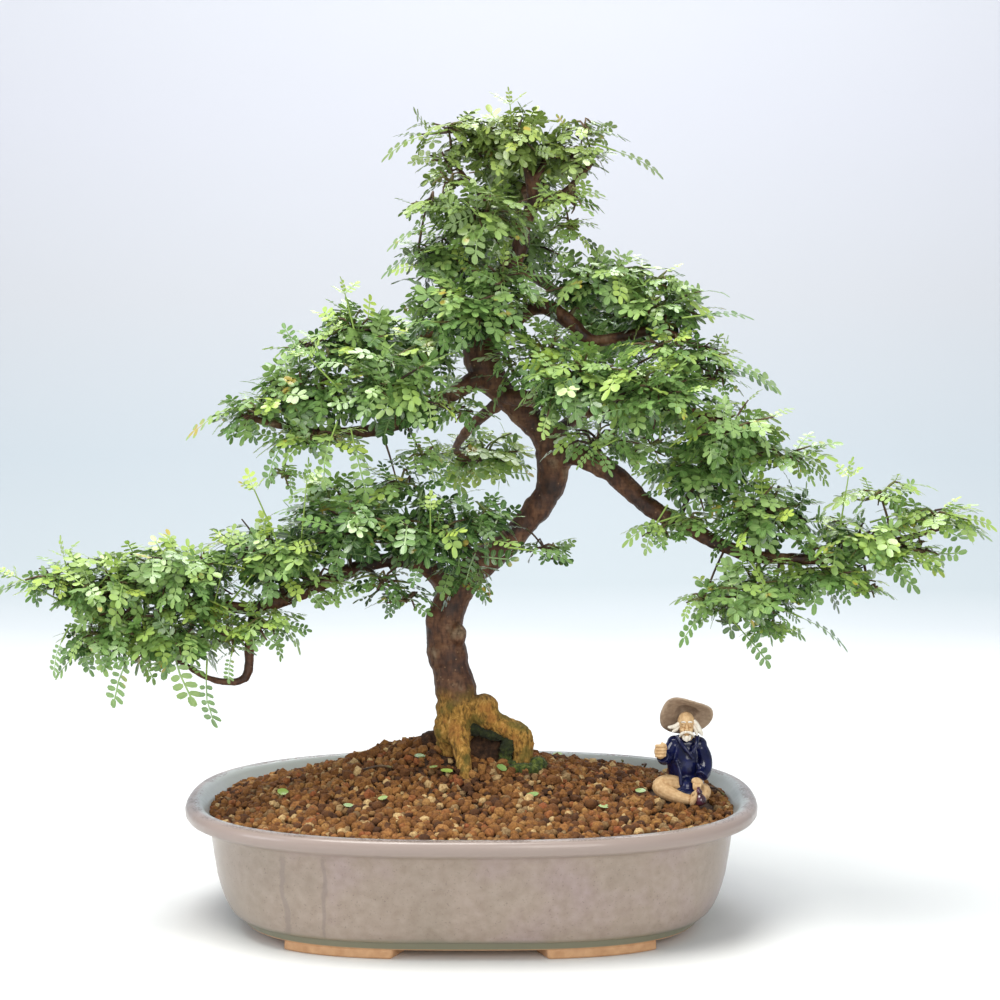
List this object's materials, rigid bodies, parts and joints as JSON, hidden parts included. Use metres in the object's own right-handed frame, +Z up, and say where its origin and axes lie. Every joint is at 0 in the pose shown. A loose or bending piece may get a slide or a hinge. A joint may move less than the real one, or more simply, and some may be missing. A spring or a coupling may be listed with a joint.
{
  "type": "japanese pepper bonsai",
  "caption": "Japanese pepper bonsai with pinnate leaves, planted in gravel in an oval glazed pot, with a small seated clay figure beside the trunk.",
  "frame": {"origin": "middle of the footprint box of the whole object, on the plane that the pot's feet stand on", "axes": "+Z up, +X to the right as seen from the front of the bonsai, the front faces -Y"},
  "size_m": [0.6358, 0.2902, 0.5229],
  "materials": {
    "pot_glaze": "satin",
    "screen_mesh": "matte",
    "drainage_grit": "matte",
    "akadama_gravel": "matte",
    "bark": "matte",
    "moss": "matte",
    "figure_clay": "gloss",
    "leaf": "satin"
  },
  "bodies": {
    "root": {"drain_screen_left": "screen_mesh", "drain_screen_right": "screen_mesh", "drainage_layer": "drainage_grit", "foliage_crown_back": "leaf", "foliage_crown_front": "leaf", "foliage_crown_left": "leaf", "foliage_crown_right": "leaf", "foliage_crown_top": "leaf", "foliage_left_front": "leaf", "foliage_left_middle": "leaf", "foliage_left_peak": "leaf", "foliage_left_tip": "leaf", "foliage_low_back": "leaf", "foliage_low_left_drooping": "leaf", "foliage_low_left_end": "leaf", "foliage_low_left_hanging": "leaf", "foliage_low_left_inner": "leaf", "foliage_low_left_middle": "leaf", "foliage_low_left_outer": "leaf", "foliage_low_left_tip": "leaf", "foliage_low_left_top": "leaf", "foliage_low_right_hanging": "leaf", "foliage_low_right_inner": "leaf", "foliage_low_right_middle": "leaf", "foliage_low_right_outer": "leaf", "foliage_low_right_tip": "leaf", "foliage_low_right_under": "leaf", "foliage_middle_back_left": "leaf", "foliage_middle_back_right": "leaf", "foliage_neck_back": "leaf", "foliage_right_inner": "leaf", "foliage_right_middle": "leaf", "foliage_right_tip": "leaf", "foliage_shoulder_front": "leaf", "foliage_shoulder_left": "leaf", "foliage_upper_back_left": "leaf", "foliage_upper_back_right": "leaf", "foliage_upper_right_inner": "leaf", "foliage_upper_right_middle": "leaf", "foliage_upper_right_tip": "leaf", "low_back_branch": "bark", "low_left_branch": "bark", "low_right_branch": "bark", "middle_back_left_branch": "bark", "middle_back_right_branch": "bark", "middle_left_branch": "bark", "middle_right_branch": "bark", "moss_cushion": "moss", "pot": "pot_glaze", "seated_figure": "figure_clay", "soil_bed": "akadama_gravel", "trunk_and_roots": "bark", "upper_back_left_branch": "bark", "upper_back_right_branch": "bark", "upper_right_branch": "bark"}
  },
  "joints": []
}
